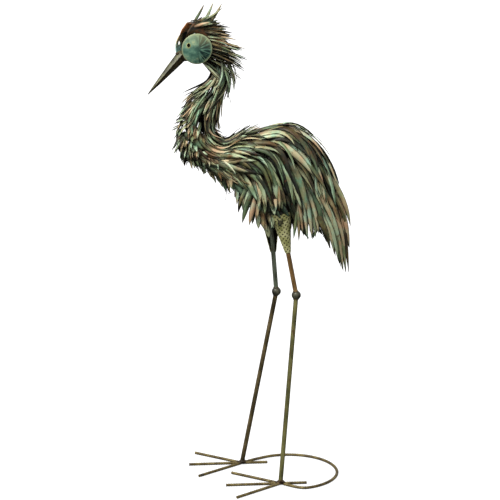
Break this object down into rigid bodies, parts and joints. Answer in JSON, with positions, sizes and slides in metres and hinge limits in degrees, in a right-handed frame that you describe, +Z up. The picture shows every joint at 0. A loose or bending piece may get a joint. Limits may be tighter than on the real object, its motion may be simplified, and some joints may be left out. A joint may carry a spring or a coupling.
{
  "type": "garden heron figurine",
  "caption": "Standing heron of welded leaf-shaped sheet steel strips on rod legs, with domed cheek discs, a folded beak, rod toes and a bracing hoop on the ground.",
  "frame": {"origin": "on the ground, midway between the ends of the beak and the tail and midway between the outer toes", "axes": "+Z up, the bird looks along -X, its left side is towards -Y"},
  "size_m": [0.3936, 0.2566, 0.9363],
  "materials": {
    "strips": "mottled verdigris, mint and rust paint, satin",
    "cheek": "teal-green paint with dark brush strokes, satin",
    "beak": "olive and dark brown paint, satin",
    "thigh": "pale olive paint on perforated sheet, satin",
    "leg": "olive-brown paint with rust, satin",
    "toe": "brown-olive paint on ribbed rod, satin"
  },
  "bodies": {
    "root": {"plumage": "strips", "left_cheek": "cheek", "right_cheek": "cheek", "beak": "beak", "left_thigh": "thigh", "right_thigh": "thigh", "left_upper_leg": "leg", "right_upper_leg": "leg", "left_knee": "leg", "right_knee": "leg", "left_shank": "leg", "right_shank": "leg", "left_long_toe": "toe", "right_long_toe": "toe", "left_outer_toe": "toe", "right_outer_toe": "toe", "left_inner_toe": "toe", "right_inner_toe": "toe", "base_hoop": "toe"}
  },
  "joints": []
}
